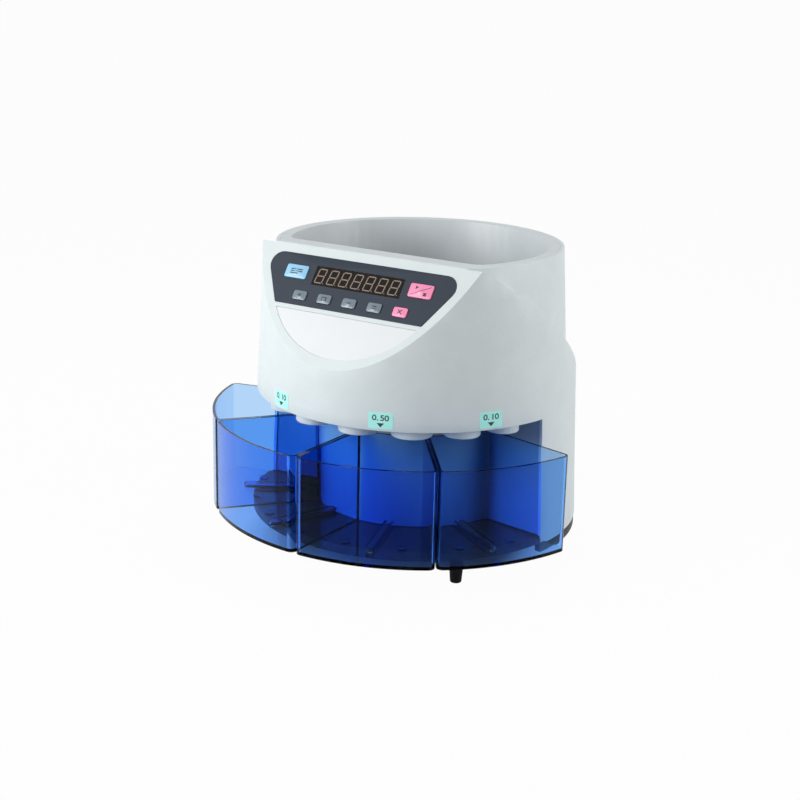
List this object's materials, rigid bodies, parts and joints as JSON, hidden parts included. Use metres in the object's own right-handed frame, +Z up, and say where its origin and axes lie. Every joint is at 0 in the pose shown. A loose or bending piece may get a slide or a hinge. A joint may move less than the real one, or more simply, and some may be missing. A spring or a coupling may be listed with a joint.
{
  "type": "coin sorter",
  "caption": "Counter-top coin sorter with a round hopper, a slanted keypad panel, coin chutes and clear blue sector drawers that slide out round a centre column.",
  "frame": {"origin": "middle of the part's box at the level of the feet's undersides", "axes": "+Z up, -Y towards the user in front of the panel, +X to the user's right"},
  "size_m": [0.3538, 0.3303, 0.2735],
  "materials": {
    "housing_grey": "fine-grained moulded plastic",
    "rim_grey": "smooth moulded plastic",
    "black_plastic": "fine-grained black plastic",
    "drawer_blue": "clear blue plastic",
    "rubber_black": "dull rubber",
    "overlay_slate": "printed film",
    "window_dark": "dark clear window",
    "plate_white": "white film",
    "key_blue": "soft key",
    "key_grey": "soft key",
    "key_pink": "soft key",
    "board_green": "solder mask",
    "steel": "plain steel",
    "deck_alloy": "cast alloy",
    "disc_rubber": "rubber-faced disc",
    "bearing_brass": "sintered bush",
    "gear_nylon": "moulded nylon",
    "switch_red": "gloss rocker"
  },
  "bodies": {
    "machine": {"main_housing": "housing_grey", "center_column": "housing_grey", "coin_chute_1": "housing_grey", "coin_chute_2": "housing_grey", "coin_chute_3": "housing_grey", "coin_chute_4": "housing_grey", "coin_chute_5": "housing_grey", "coin_chute_6": "housing_grey", "coin_chute_7": "housing_grey", "coin_chute_8": "housing_grey", "hopper_bowl": "rim_grey", "base_plate": "black_plastic", "display_module": "black_plastic", "key_switches": "black_plastic", "coin_sensors": "black_plastic", "rear_plate": "black_plastic", "power_inlet": "black_plastic", "switch_bezel": "black_plastic", "rubber_foot_1": "rubber_black", "rubber_foot_2": "rubber_black", "rubber_foot_3": "rubber_black", "rubber_foot_4": "rubber_black", "panel_overlay": "overlay_slate", "display_window": "window_dark", "name_plate": "plate_white", "control_board": "board_green", "power_board": "board_green", "sorting_ring": "steel", "motor_plate": "steel", "board_screws": "steel", "foot_screws": "steel", "housing_screws": "steel", "deck_screws": "steel", "rear_plate_screws": "steel", "motor_screws": "steel", "transformer": "steel", "sorting_deck": "deck_alloy", "drive_motor": "deck_alloy", "spindle_bearing_upper": "bearing_brass", "spindle_bearing_lower": "bearing_brass"},
    "disc": {"sorting_disc": "disc_rubber", "disc_spindle": "steel", "disc_cap_nut": "steel", "drive_gear": "gear_nylon"},
    "pinion": {"motor_pinion": "gear_nylon", "motor_shaft": "steel"},
    "power_switch": {"power_switch": "switch_red"},
    "mode_key": {"mode_key": "key_blue"},
    "grey_key_1": {"grey_key_1": "key_grey"},
    "grey_key_2": {"grey_key_2": "key_grey"},
    "grey_key_3": {"grey_key_3": "key_grey"},
    "grey_key_4": {"grey_key_4": "key_grey"},
    "clear_key": {"clear_key": "key_pink"},
    "start_stop_key": {"start_stop_key": "key_pink"},
    "coin_drawer_1": {"coin_drawer_1": "drawer_blue"},
    "coin_drawer_2": {"coin_drawer_2": "drawer_blue"},
    "coin_drawer_3": {"coin_drawer_3": "drawer_blue"},
    "coin_drawer_4": {"coin_drawer_4": "drawer_blue"}
  },
  "joints": [
    {"name": "disc_spin", "type": "hinge", "parent": "machine", "child": "disc", "pos_m": [0, 0.01777, 0], "axis": [0, 0, 1], "continuous": true},
    {"name": "pinion_spin", "type": "hinge", "parent": "machine", "child": "pinion", "pos_m": [0, 0.06602, 0], "axis": [0, 0, 1], "continuous": true},
    {"name": "power_rocker", "type": "hinge", "parent": "machine", "child": "power_switch", "pos_m": [-0.017, 0.14776, 0.078], "axis": [1, 0, 0], "range_deg": [0, 14]},
    {"name": "drawer_slide_1", "type": "slide", "parent": "machine", "child": "coin_drawer_1", "axis": [-0.8457, -0.5336, 0], "range_m": [0, 0.09]},
    {"name": "drawer_slide_2", "type": "slide", "parent": "machine", "child": "coin_drawer_2", "axis": [-0.3297, -0.9441, 0], "range_m": [0, 0.09]},
    {"name": "drawer_slide_3", "type": "slide", "parent": "machine", "child": "coin_drawer_3", "axis": [0.3297, -0.9441, 0], "range_m": [0, 0.09]},
    {"name": "drawer_slide_4", "type": "slide", "parent": "machine", "child": "coin_drawer_4", "axis": [0.8457, -0.5336, 0], "range_m": [0, 0.09]},
    {"name": "mode_key_press", "type": "slide", "parent": "machine", "child": "mode_key", "axis": [0, 0.8231, -0.5678], "range_m": [0, 0.0006], "stiffness_N_per_m": 400},
    {"name": "grey_key_1_press", "type": "slide", "parent": "machine", "child": "grey_key_1", "axis": [0, 0.8231, -0.5678], "range_m": [0, 0.0006], "stiffness_N_per_m": 400},
    {"name": "grey_key_2_press", "type": "slide", "parent": "machine", "child": "grey_key_2", "axis": [0, 0.8231, -0.5678], "range_m": [0, 0.0006], "stiffness_N_per_m": 400},
    {"name": "grey_key_3_press", "type": "slide", "parent": "machine", "child": "grey_key_3", "axis": [0, 0.8231, -0.5678], "range_m": [0, 0.0006], "stiffness_N_per_m": 400},
    {"name": "grey_key_4_press", "type": "slide", "parent": "machine", "child": "grey_key_4", "axis": [0, 0.8231, -0.5678], "range_m": [0, 0.0006], "stiffness_N_per_m": 400},
    {"name": "clear_key_press", "type": "slide", "parent": "machine", "child": "clear_key", "axis": [0, 0.8231, -0.5678], "range_m": [0, 0.0006], "stiffness_N_per_m": 400},
    {"name": "start_stop_key_press", "type": "slide", "parent": "machine", "child": "start_stop_key", "axis": [0, 0.8231, -0.5678], "range_m": [0, 0.0006], "stiffness_N_per_m": 400}
  ],
  "couplings": [
    {"joint": "pinion_spin", "follows": "disc_spin", "ratio": -3}
  ]
}
